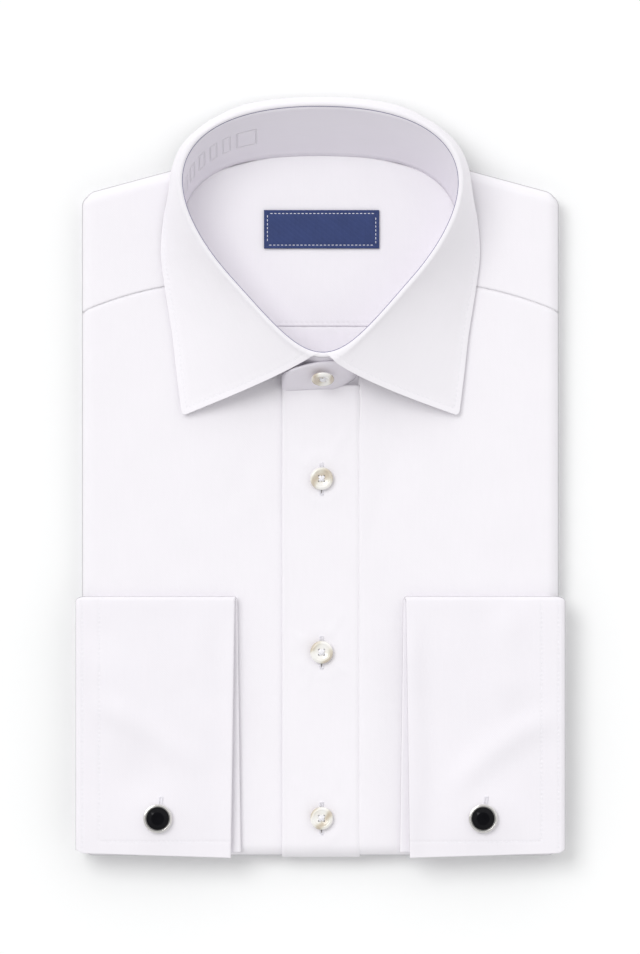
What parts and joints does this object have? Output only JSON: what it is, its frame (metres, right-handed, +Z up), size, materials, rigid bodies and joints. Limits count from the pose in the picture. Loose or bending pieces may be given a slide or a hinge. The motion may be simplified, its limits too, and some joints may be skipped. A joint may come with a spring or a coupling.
{
  "type": "long sleeve dress shirt",
  "caption": "Folded white long sleeve dress shirt with a spread collar, buttoned placket, turned-back French cuffs and round black cufflinks, lying flat.",
  "frame": {"origin": "middle of the folded shirt's underside, on the surface it lies on", "axes": "+X towards the wearer's left, +Y from the folded bottom edge towards the collar, +Z up from the back to the front of the shirt"},
  "size_m": [0.2448, 0.3812, 0.045],
  "materials": {
    "cloth_white": "matte",
    "stand_inner": "matte",
    "label_blue": "satin",
    "shell_button": "gloss",
    "silver": "polished",
    "black_stone": "gloss"
  },
  "bodies": {
    "root": {"folded_layers": "cloth_white", "back_panel": "cloth_white", "back_yoke": "cloth_white", "yoke_left": "cloth_white", "yoke_right": "cloth_white", "front_left": "cloth_white", "front_right": "cloth_white", "placket": "cloth_white", "collar": "cloth_white", "cuff_left": "cloth_white", "cuff_right": "cloth_white", "sleeve_left": "cloth_white", "sleeve_right": "cloth_white", "collar_stand": "stand_inner", "neck_label": "label_blue", "collar_button": "shell_button", "front_button_1": "shell_button", "front_button_2": "shell_button", "front_button_3": "shell_button", "cufflink_left_setting": "silver", "cufflink_left_post": "silver", "cufflink_left_stone": "black_stone", "cufflink_right_setting": "silver", "cufflink_right_post": "silver", "cufflink_right_stone": "black_stone"}
  },
  "joints": []
}
